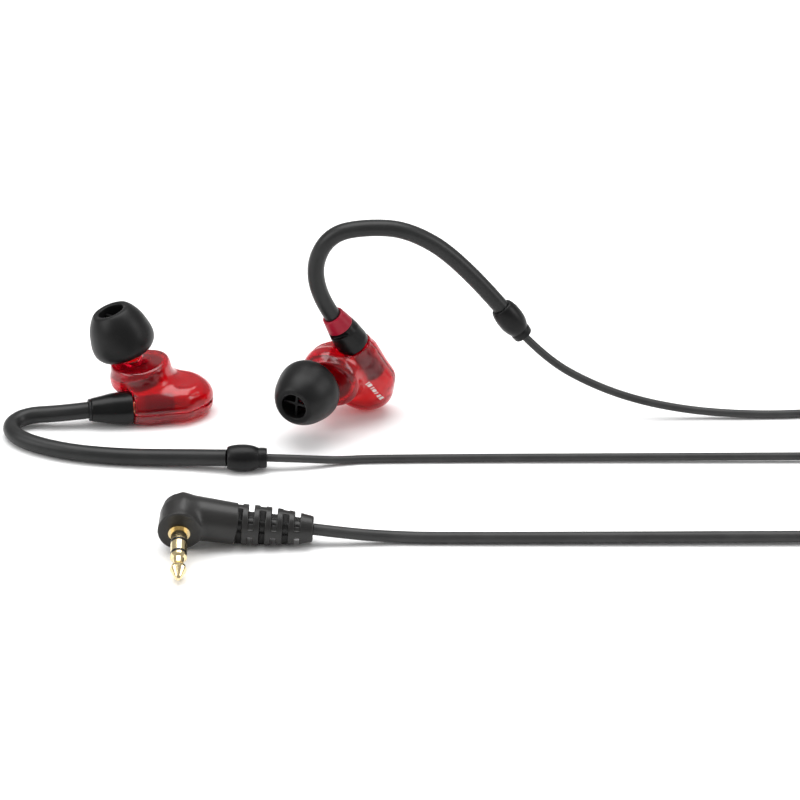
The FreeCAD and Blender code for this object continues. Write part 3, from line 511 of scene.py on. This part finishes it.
def surface_net(field, low, high, step):
    """Points and quads on the zero level of a field that is negative inside: one point in each mixed cell,
    then moved onto the level along the field's slope."""
    axes = [np.arange(low[k], high[k] + step, step) for k in range(3)]
    values = field(*np.meshgrid(*axes, indexing="ij"))
    inside = values < 0
    cells = [np.s_[:-1], np.s_[1:]]
    corners = [(i, j, k) for i in (0, 1) for j in (0, 1) for k in (0, 1)]
    count = sum(inside[cells[i], cells[j], cells[k]].astype(int) for i, j, k in corners)
    mixed = np.argwhere((count > 0) & (count < 8))
    index = -np.ones(count.shape, int)
    index[tuple(mixed.T)] = np.arange(len(mixed))
    total, hits = np.zeros((len(mixed), 3)), np.zeros(len(mixed))
    for a in corners:
        for k in range(3):
            if a[k]:
                continue
            b = tuple(a[m] + (m == k) for m in range(3))
            va, vb = (values[tuple((mixed + corner).T)] for corner in (a, b))
            cross = (va < 0) != (vb < 0)
            share = va[cross] / (va[cross] - vb[cross])
            total[cross] += np.array(a) + share[:, None] * (np.array(b) - np.array(a))
            hits[cross] += 1
    points = np.array([axis[0] for axis in axes]) + step * (mixed + total / hits[:, None])
    quads = []
    for k in range(3):
        first, second = (k + 1) % 3, (k + 2) % 3
        here = [np.s_[1:-1]] * 3
        here[k] = np.s_[:-1]
        there = list(here)
        there[k] = np.s_[1:]
        change = inside[tuple(here)].astype(int) - inside[tuple(there)].astype(int)
        for sign in (1, -1):
            spots = np.argwhere(change == sign)
            for axis in (first, second):
                spots[:, axis] += 1
            ring = []
            for da, db in ((0, 0), (-1, 0), (-1, -1), (0, -1)):
                cell = spots.copy()
                cell[:, first] += da
                cell[:, second] += db
                ring.append(index[tuple(cell.T)])
            quads.append(np.stack(ring if sign > 0 else ring[::-1], axis=1))
    small = step * NET_PROBE
    for _ in range(NET_ROUNDS):
        value = field(*points.T)
        slope = np.stack([field(*(points + small * unit).T) - field(*(points - small * unit).T)
                          for unit in np.eye(3)], axis=1) / (2 * small)
        size = np.maximum((slope * slope).sum(1), LEAST_SLOPE)
        points -= np.clip((value / size)[:, None] * slope, -NET_MOVE * step, NET_MOVE * step)
    return points, np.concatenate(quads)


def lathe_mesh(profile, segments):
    """Points and quads of a closed outline of (along, radius) turned about x."""
    count = len(profile)
    points, quads = [], []
    for turn in range(segments):
        angle = 2 * math.pi * turn / segments
        points += [(along, radius * math.cos(angle), radius * math.sin(angle)) for along, radius in profile]
        following = (turn + 1) % segments
        for k in range(count):
            after = (k + 1) % count
            quads.append((turn * count + k, turn * count + after,
                          following * count + after, following * count + k))
    return points, quads


def eased(profile):
    """Closed outline with its corners cut off, a few times over."""
    near, far = EASE_KEEP, 1 - EASE_KEEP
    for _ in range(EASE_ROUNDS):
        cut = []
        for (a, r), (b, s) in zip(profile, profile[1:] + profile[:1]):
            cut += [(a * near + b * far, r * near + s * far), (a * far + b * near, r * far + s * near)]
        profile = cut
    return profile


def axis_frame(base, direction):
    """Frame whose x points along direction, and whose z points as far up as it can."""
    x = Vector(direction).normalized()
    y = Vector((0, 0, 1)).cross(x).normalized()
    turn = Matrix((x, y, x.cross(y))).transposed().to_4x4()
    return Matrix.Translation(base) @ turn


# ---------------------------------------------------------------- housings

def wrapped(x, y, lobes):
    """Signed distance to the convex outline that wraps round lobes of (x, y, radius)."""
    best = np.full(np.shape(x), -np.inf)
    for turn in np.linspace(0, 2 * math.pi, OUTLINE_SIDES, endpoint=False):
        nx, ny = math.cos(turn), math.sin(turn)
        reach = max(cx * nx + cy * ny + radius for cx, cy, radius in lobes)
        best = np.maximum(best, nx * x + ny * y - reach)
    return best


def body(x, y, z):
    """Outside of the hollow part: plate, cable duct, dome and driver boss."""
    plate = rounded_stack(wrapped(x, y, OUTLINE), z, FACE_LOW, SHOULDER, EDGE_ROUND)
    dome = rounded_stack(wrapped(x, y, DOME_LOBES), z, FACE_LOW, DOME_TOP, DOME_ROUND)
    duct = np.sqrt(y * y + z * z + np.maximum(x - DUCT_END, 0) ** 2) - DUCT_RADIUS
    duct = np.maximum(duct, -x)
    along, away = along_axis(x, y, z, BOSS_TOP, EAR_AXIS)
    boss = rounded_stack(away - BOSS_RADIUS, along, -BOSS_LENGTH, 0, BOSS_ROUND)
    solid = smooth_union(smooth_union(plate, dome, DOME_BLEND), duct, DUCT_BLEND)
    return np.maximum(smooth_union(solid, boss, BOSS_BLEND), FACE_LOW - z)


def housing(x, y, z):
    """Outside without the nozzle: the hollow part, with the solid land that carries the nozzle."""
    along, away = along_axis(x, y, z, LAND_TOP, LAND_AXIS)
    land = rounded_stack(away - LAND_RADIUS, along, -LAND_LENGTH, 0, BOSS_ROUND)
    solid = smooth_union(body(x, y, z), land, LAND_BLEND)
    cap_room = np.maximum(np.hypot(y, z) - CAP_ROOM_RADIUS, x - MOUTH_X)
    return smooth_cut(solid, cap_room, CAP_ROOM_BLEND)


def nozzle(x, y, z):
    along, away = along_axis(x, y, z, NOZZLE_BASE, EAR_AXIS)
    neck = rounded_stack(away - NECK_RADIUS, along, -NOZZLE_SINK, NECK_HEIGHT, NECK_ROUND)
    pipe = rounded_stack(away - NOZZLE_RADIUS, along, -NOZZLE_SINK, NOZZLE_LENGTH, NOZZLE_ROUND)
    collar = np.hypot(away - NOZZLE_RADIUS, along - NOZZLE_LENGTH + COLLAR_BACK) - COLLAR_RADIUS
    return smooth_union(smooth_union(neck, pipe, NECK_BLEND), collar, COLLAR_BLEND)


def hollow(x, y, z):
    """Everything that is open inside: cavity, cable socket's mouth and sound bore."""
    cavity = body(x, y, z) + WALL
    mouth = np.maximum(np.hypot(y, z) - MOUTH_RADIUS, np.abs(x) - MOUTH_DEPTH)
    along, away = along_axis(x, y, z, NOZZLE_BASE, EAR_AXIS)
    bore = np.maximum(away - NOZZLE_BORE, -BORE_SINK - along)
    seat = np.maximum(away - NOZZLE_RADIUS + SEAT_LIP, NOZZLE_LENGTH - SEAT_DEPTH - along)
    return np.minimum(np.minimum(cavity, mouth), np.minimum(bore, seat))


def trimmed(x, y, z):
    """Outside with its fine lines: ring on the land, pry slot, dished ring on the face, and bevelled seam."""
    solid = housing(x, y, z)
    along, away = along_axis(x, y, z, LAND_TOP, LAND_AXIS)
    rim = np.hypot(away - RIM_RADIUS, along) - RIM_DEPTH
    from_slot = np.hypot(x - SLOT_PLACE[0], y - SLOT_PLACE[1])
    slot = np.maximum(np.abs(z - SEAM_Z) - SLOT_HALF_HEIGHT, from_slot - SLOT_RADIUS)
    solid = smooth_cut(smooth_cut(solid, rim, LINE_BLEND), slot, SLOT_BLEND)
    from_dish = np.hypot(x - DISH_PLACE[0], y - DISH_PLACE[1])
    dish = np.hypot(from_dish - DISH_RADIUS, z - FACE_LOW) - DISH_DEPTH
    return smooth_cut(solid, dish, LINE_BLEND) + np.maximum(0, SEAM_BEVEL - np.abs(z - SEAM_Z))


def inner_shell(x, y, z):
    solid = smooth_union(trimmed(x, y, z), nozzle(x, y, z), NOZZLE_BLEND)
    return np.maximum(np.maximum(solid, -hollow(x, y, z)), SEAM_Z + SEAM_GAP / 2 - z)


def faceplate(x, y, z):
    return np.maximum(np.maximum(trimmed(x, y, z), -hollow(x, y, z)), z - SEAM_Z + SEAM_GAP / 2)


def housings(made):
    parts = {"inner_shell": surface_net(inner_shell, *INNER_BOX, HOUSING_STEP),
             "faceplate": surface_net(faceplate, *FACE_BOX, HOUSING_STEP)}
    for side in SIDES:
        for name, (points, quads) in parts.items():
            shell = mesh_object(f"{side}_{name}_shell", points, quads, f"{side}_earpiece", placed(side),
                                made["red"])
            shell.data.materials.append(made["red_inside"])
            middles = points[quads].mean(axis=1)
            inside = (housing(*middles.T) < -WALL / 2).astype(int)
            shell.data.polygons.foreach_set("material_index", inside)
            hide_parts(f"{side}_{name}")


def grid_edge(count):
    """Indices in order round the edge of a grid of count by count points."""
    last = count - 1
    return ([count * i for i in range(count)] + [count * last + j for j in range(1, count)]
            + [last + count * i for i in range(last - 1, -1, -1)] + list(range(last - 1, 0, -1)))


def mark(side, made):
    """Printed bars on top of the housing: each is a thin block of points dropped onto the surface."""
    count = MARK_POINTS
    edge = grid_edge(count)
    points, quads = [], []
    for low, high in MARK_BARS:
        columns = np.linspace(low, high, count)
        rows = np.linspace(-MARK_HEIGHT / 2, MARK_HEIGHT / 2, count)
        x, y = (grid.ravel() for grid in np.meshgrid(columns, rows, indexing="ij"))
        z = np.full(x.shape, MARK_START)
        for _ in range(MARK_DROPS):
            z = z - housing(x, y, z)
        top = len(points)
        bottom = top + count * count
        for base, lift in ((top, MARK_LIFT), (bottom, -MARK_LIFT)):
            points += np.stack([x, y, z + lift], axis=1).tolist()
            for i in range(count - 1):
                for j in range(count - 1):
                    corner = base + count * i + j
                    ring = [corner, corner + count, corner + count + 1, corner + 1]
                    quads.append(ring if lift > 0 else ring[::-1])
        for here, there in zip(edge, edge[1:] + edge[:1]):
            quads.append([top + here, bottom + here, bottom + there, top + there])
    bars = mesh_object(f"{side}_mark", points, quads, f"{side}_earpiece", placed(side), made["ink"])


# ---------------------------------------------------------------- ear tips

def ear_tip(side, made):
    """Silicone tip: skirt folded back from a flat lip, stem inside, and a cross in the sound hole."""
    points, quads = lathe_mesh(eased(TIP_PROFILE), TIP_SEGMENTS)
    matrix = placed(side) @ axis_frame(NOZZLE_BASE, EAR_AXIS)
    tip = mesh_object(f"{side}_silicone_tip", points, quads, f"{side}_ear_tip", matrix, made["silicone"])
    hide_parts(f"{side}_ear_tip")

    def web(x, y, z):
        arms = [np.maximum(np.abs(y + sign * z) / math.sqrt(2) - WEB_WIDTH / 2, np.hypot(y, z) - WEB_REACH)
                for sign in (1, -1)]
        return rounded_stack(smooth_union(*arms, WEB_BLEND), x, WEB_LOW, WEB_HIGH, WEB_ROUND)

    reach = WEB_REACH + WEB_MARGIN
    low, high = (WEB_LOW - WEB_MARGIN, -reach, -reach), (WEB_HIGH + WEB_MARGIN, reach, reach)
    points, quads = surface_net(web, low, high, WEB_STEP)
    cross = mesh_object(f"{side}_tip_cross", points, quads, f"{side}_ear_tip", matrix, made["silicone"])


# ---------------------------------------------------------------- connectors

def connector_cap(side, made):
    """Tapered cap with a notch beside its marker ring."""
    ring_x = MARK_LENGTH[side] - CAP_LENGTH
    notch_x = ring_x + NOTCH_HALF_LENGTH

    def tapered(x, away):
        return away - np.interp(-x, *zip(*CAP_TAPER))

    def cap(x, y, z):
        away = np.hypot(y, z)
        solid = rounded_stack(tapered(x, away), x, ring_x, -CAP_MOUTH, CAP_ROUND)
        bore = np.maximum(away - CAP_BORE, -CAP_BORE_DEPTH - x)
        notch = np.maximum(np.abs(x - notch_x) - NOTCH_HALF_LENGTH, NOTCH_FLOOR - NOTCH_SIDE[side] * z)
        return smooth_cut(np.maximum(solid, -bore), notch, NOTCH_BLEND)

    def ring(x, y, z):
        away = np.hypot(y, z)
        solid = rounded_stack(tapered(x, away), x, -CAP_LENGTH, ring_x, RING_ROUND)
        bore = np.maximum(away - HOOK_RADIUS - RING_GAP, x + CAP_LENGTH - RING_DEPTH)
        return smooth_cut(solid, bore, RING_BLEND)

    for name, field, (finish, slot) in (("connector_cap", cap, ("cap", "black_moulding")),
                                        ("marker_ring", ring, MARKER[side])):
        points, quads = surface_net(field, *CAP_BOX, CAP_STEP)
        piece = mesh_object(f"{side}_{name}_skin", points, quads, "cable_set", placed(side), made[finish])
        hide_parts(f"{side}_{name}")


def socket(side, made):
    """Dark socket block with a paler ribbed collar round its mouth."""
    for name, profile, finish in (("block", SOCKET_BLOCK, "socket"), ("collar", SOCKET_COLLAR, "collar")):
        points, quads = lathe_mesh(profile, SOCKET_SEGMENTS)
        piece = mesh_object(f"{side}_socket_{name}", points, quads, f"{side}_earpiece", placed(side),
                            made[finish])
        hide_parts(f"{side}_socket_body")


def ferrule(side, made):
    points, quads = lathe_mesh(eased(FERRULE_PROFILE), FERRULE_SEGMENTS)
    piece = mesh_object(f"{side}_ferrule_sleeve", points, quads, "cable_set", axis_frame(*FERRULE[side]),
                        made["ferrule"])
    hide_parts(f"{side}_hook_ferrule")
    return piece


# ---------------------------------------------------------------- plug

def jack_moulding(x, y, z):
    """Oval body about the shaft's axis, blended into the round arm."""
    along, _ = along_axis(x, y, z, JACK_CENTRE, SHAFT)
    rise, _ = along_axis(x, y, z, JACK_CENTRE, PLUG_UP)
    half_width = np.interp(along, JACK_ALONG, JACK_HALF_WIDTH)
    half_height = np.interp(along, JACK_ALONG, JACK_HALF_HEIGHT)
    oval = (np.hypot((x - JACK_CENTRE[0]) / half_width, rise / half_height) - 1) * half_width
    body = rounded_stack(oval, along, JACK_ALONG[0], JACK_ALONG[-1], JACK_ROUND)
    out, off = along_axis(x, y, z, JACK_CENTRE, ARM)
    arm = rounded_stack(off - ARM_RADIUS + ARM_TAPER * out, out, 0, ARM_LENGTH, ARM_ROUND)
    return smooth_union(body, arm, ARM_BLEND)


def relief_field(x, y, z):
    """Tapered rubber sleeve along x, slotted in turn from its sides and from above and below."""
    away = np.hypot(y, z)
    taper = np.interp(x / RELIEF_LENGTH, RELIEF_SHARES, RELIEF_RADII)
    solid = rounded_stack(away - taper, x, 0, RELIEF_LENGTH, RELIEF_ROUND)
    for index in range(RELIEF_PITCHES):
        for (place, width), across in ((SIDE_SLOT, y), (TOP_SLOT, z)):
            middle = index * RELIEF_PITCH + place + width / 2
            cut = np.maximum(np.abs(x - middle) - width / 2, RELIEF_RIB - np.abs(across))
            solid = smooth_cut(solid, np.maximum(cut, RELIEF_CORE - away), RELIEF_BLEND)
    return solid


def jack(made):
    """Plug's moulding and strain relief; its contacts keep the CAD shape."""
    points, quads = surface_net(jack_moulding, *JACK_BOX, JACK_STEP)
    body = mesh_object("jack_moulding", points, quads, "cable_set", Matrix.Identity(4), made["plug"])
    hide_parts("jack_body")
    points, quads = surface_net(relief_field, *RELIEF_BOX, RELIEF_STEP)
    matrix = axis_frame(RELIEF_START, Vector(RELIEF_END) - RELIEF_START)
    sleeve = mesh_object("jack_relief_sleeve", points, quads, "cable_set", matrix, made["plug"])
    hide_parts("jack_strain_relief")
    for name in ("jack_sleeve", "jack_ring", "jack_tip"):
        paint(name, made["gold"])
    paint("jack_insulators", made["band"])
    return [body, sleeve]


# ---------------------------------------------------------------- splitter, slider and ties

def splitter_field(x, y, z):
    dx, dz = x - SPLIT_X, z - SPLIT_Z
    width = np.interp(y, SPLIT_STATIONS, SPLIT_HALF_WIDTHS)
    height = np.interp(y, SPLIT_STATIONS, SPLIT_HALF_HEIGHTS)
    oval = (np.hypot(dx / width, dz / height) - 1) * np.minimum(width, height)
    solid = rounded_stack(oval, y, SPLIT_MAIN_Y, SPLIT_BRANCH_Y, SPLIT_ROUND)
    for index in range(GRIP_LINES):
        middle = SPLIT_MAIN_Y + GRIP_START + GRIP_PITCH * index
        line = np.maximum(np.abs(y - middle) - GRIP_HALF_WIDTH, -oval - GRIP_DEPTH)
        solid = smooth_cut(solid, line, LINE_BLEND)
    return solid


def slider_field(x, y, z):
    dx, dz = x - SPLIT_X, z - SPLIT_Z
    beyond_x, beyond_z = np.abs(dx) - SLIDER_FLAT_X, np.abs(dz) - SLIDER_FLAT_Z
    section = np.hypot(np.maximum(beyond_x, 0), np.maximum(beyond_z, 0)) - SLIDER_SIDE_ROUND
    solid = rounded_stack(section, y, SLIDER_LOW, SLIDER_HIGH, SLIDER_END_ROUND)
    for offset in (-BRANCH_SPACING / 2, BRANCH_SPACING / 2):
        bore = np.hypot(dx - offset, dz) - BRANCH_RADIUS - SLIDER_CLEARANCE
        solid = smooth_cut(solid, bore, SLIDER_BLEND)
    middle = (SLIDER_LOW + SLIDER_HIGH) / 2
    waist = np.hypot((y - middle) / WAIST_LENGTH, np.abs(dx) - WAIST_OUT) - WAIST_RADIUS
    return smooth_cut(solid, waist, WAIST_BLEND)


def swept(loop, section, closed):
    """Points and faces of a section of (across, out), carried along spots of (x, z, outward x, outward z)."""
    count = len(section)
    points = [(x + nx * out, across, z + nz * out) for x, z, nx, nz in loop for across, out in section]
    faces = []
    for k in range(len(loop) if closed else len(loop) - 1):
        here, following = k * count, (k + 1) % len(loop) * count
        for m in range(count):
            n = (m + 1) % count
            faces.append((here + m, following + m, following + n, here + n))
    if not closed:
        ends = list(range(len(points)))
        faces += [ends[:count], ends[-count:][::-1]]
    return points, faces


def tie(name, centre, middle, half_width, height, angle, made):
    """Strap closed round the bundle of turns, with its free end lapped over the top."""
    side = half_width + TIE_SIDE_GAP - TIE_CORNER
    low, high = TIE_LIFT - TIE_GAP + TIE_CORNER, TIE_LIFT + height + TIE_GAP - TIE_CORNER
    loop = []
    for quarter, (x, z) in enumerate(((side, high), (-side, high), (-side, low), (side, low))):
        for step in range(TIE_CORNER_STEPS + 1):
            turn = math.pi / 2 * (quarter + step / TIE_CORNER_STEPS)
            nx, nz = math.cos(turn), math.sin(turn)
            loop.append((x + TIE_CORNER * nx, z + TIE_CORNER * nz, nx, nz))
    edge, flat = TIE_WIDTH / 2, TIE_WIDTH * TIE_FLAT_SHARE
    lower = [(-edge, TIE_BEVEL), (-flat, 0), (flat, 0), (edge, TIE_BEVEL)]
    section = lower + [(across, TIE_THICKNESS - out) for across, out in reversed(lower)]
    points, faces = swept(loop, section, closed=True)
    base = len(points)
    section = [(across * LAP_SHARE, out + TIE_THICKNESS + LAP_GAP) for across, out in section]
    lap_points, lap_faces = swept(loop[LAP_FROM:LAP_TO], section, closed=False)
    points += lap_points
    faces += [[base + index for index in face] for face in lap_faces]
    matrix = Matrix.Translation((*centre, 0)) @ Matrix.Rotation(math.radians(angle), 4, "Z")
    matrix = matrix @ Matrix.Translation((middle, 0, 0))
    strap = mesh_object(f"{name}_strap", points, faces, "cable_set", matrix, made["strap"])
    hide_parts(name)
    return strap


def small_mouldings(made):
    """Y splitter, which rides on the cable, and chin slider, which slides."""
    pieces = []
    for name, field, body, low_y, high_y in (
            ("y_splitter", splitter_field, "cable_set", SPLIT_MAIN_Y, SPLIT_BRANCH_Y),
            ("chin_slider", slider_field, "chin_slider", SPLIT_BRANCH_Y, SLIDER_HIGH)):
        low = (SPLIT_X - SMALL_REACH, low_y - SMALL_MARGIN, -SMALL_MARGIN)
        high = (SPLIT_X + SMALL_REACH, high_y + SMALL_MARGIN, SMALL_TOP)
        points, quads = surface_net(field, low, high, SMALL_STEP)
        piece = mesh_object(f"{name}_moulding", points, quads, body, Matrix.Identity(4), made["ferrule"])
        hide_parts(name)
        pieces.append(piece)
    return pieces


# ---------------------------------------------------------------- carried-over CAD nodes

def paint(name, material):
    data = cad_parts[name].data
    data.materials.clear()
    data.materials.append(material)
    data.shade_smooth()
    data.set_sharp_from_angle(angle=CAD_SHARP_EDGE)


def paint_inside(made):
    finishes = {"nozzle_mesh": "gauze", "driver_frame": "frame", "driver_magnet": "magnet",
                "diaphragm": "film", "voice_coil": "copper", "driver_terminal": "board",
                "signal_wires": "copper", "plug_barrel": "gold", "plug_insulator": "white",
                "plug_pin": "gold", "snap_ring": "gold", "socket_contact": "gold"}
    for side in SIDES:
        for name, finish in finishes.items():
            paint(f"{side}_{name}", made[finish])


# ---------------------------------------------------------------- cords

def wound(centre, middle, turns, radius):
    """Control points of a coil that winds to the left from its lowest point: turns is a list of (offset,
    height) in cord radii. The last part of a turn crosses to the next one's place."""
    cut = 1 / math.cos(math.pi / POINTS_PER_TURN)
    whole = len(turns) - 1
    points = []
    for step in range(1, whole * POINTS_PER_TURN + POINTS_PER_TURN // 4):
        turn, part = divmod(step / POINTS_PER_TURN, 1)
        (r0, h0), (r1, h1) = turns[int(turn)], turns[min(int(turn) + 1, whole)]
        share = max(0, part - 1 + CROSSING_SHARE) / CROSSING_SHARE
        climb = min(1, share * CLIMB_RATE)
        slide = max(0, (share - 1) * CLIMB_RATE + 1) if h1 > h0 else share
        r = middle + radius * (r0 + (r1 - r0) * slide)
        angle = 2 * math.pi * part - math.pi / 2
        points.append((centre[0] + r * cut * math.cos(angle), centre[1] + r * cut * math.sin(angle),
                       TIE_LIFT + radius * (h0 + (h1 - h0) * climb)))
    return points


def branch_cord(side, made):
    hook_end, direction = FERRULE[side]
    start = tuple(Vector(hook_end) + Vector(direction).normalized() * FERRULE_LENGTH)
    centre, middle = BRANCH_COIL[side]
    entry = (centre[0], centre[1] - middle - BRANCH_RADIUS, TIE_LIFT + BRANCH_RADIUS)
    leave = (centre[0] + middle, centre[1], TIE_LIFT + 3 * BRANCH_RADIUS)
    offset = BRANCH_SPACING / 2 * (-1 if side == "left" else 1)
    points = [start] + BRANCH_ROUTE[side] + [entry]
    points += wound(centre, middle, BRANCH_TURNS[side], BRANCH_RADIUS)
    points += [leave] + LEAD_ROUTE[side] + [(SPLIT_X + offset, SPLIT_BRANCH_Y, SPLIT_Z)]
    cord = spline_object(f"{side}_cord", points, BRANCH_RADIUS, "cable_set", made["cable"])
    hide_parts(f"{side}_branch_cable", f"{side}_branch_coil")
    return cord, [value * MM for value in start]


def main_cord(made):
    centre, middle = MAIN_COIL
    outside = middle + 2 * MAIN_RADIUS
    entry = (centre[0], centre[1] - outside, TIE_LIFT + MAIN_RADIUS)
    leave = (centre[0] + outside, centre[1], TIE_LIFT + 5 * MAIN_RADIUS)
    split_end = (SPLIT_X, SPLIT_MAIN_Y, SPLIT_Z)
    points = [RELIEF_END] + MAIN_ROUTE + [entry]
    points += wound(centre, middle, MAIN_TURNS, MAIN_RADIUS)
    points += [leave, LEAD_TOP, split_end]
    cord = spline_object("main_cord", points, MAIN_RADIUS, "cable_set", made["cable"])
    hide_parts("main_cable", "main_coil")
    return cord, [value * MM for value in split_end]


def ear_hook(side, made):
    cap_end = placed(side) @ Vector((-CAP_LENGTH, 0, 0))
    points = [tuple(cap_end)] + HOOK_ROUTE[side] + [FERRULE[side][0]]
    hook = spline_object(f"{side}_hook_sleeve", points, HOOK_RADIUS, "cable_set", made["hook"])
    hook.data.bevel_resolution = 10
    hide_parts(f"{side}_ear_hook")


made = materials()
camera()
studio()
housings(made)
mark("right", made)
paint_inside(made)
ferrules, straps = {}, {}
for side in SIDES:
    ear_hook(side, made)
    ear_tip(side, made)
    connector_cap(side, made)
    socket(side, made)
    ferrules[side] = ferrule(side, made)
    straps[side] = tie(f"{side}_coil_tie", *BRANCH_COIL[side], 2 * BRANCH_RADIUS, 4 * BRANCH_RADIUS,
                       BRANCH_TIE_TURN, made)
main_strap = tie("main_coil_tie", *MAIN_COIL, 3 * MAIN_RADIUS, 6 * MAIN_RADIUS, MAIN_TIE_TURN, made)
plug = jack(made)
y_piece, chin_piece = small_mouldings(made)
for side in SIDES:
    cord, start = branch_cord(side, made)
cord, start = main_cord(made)
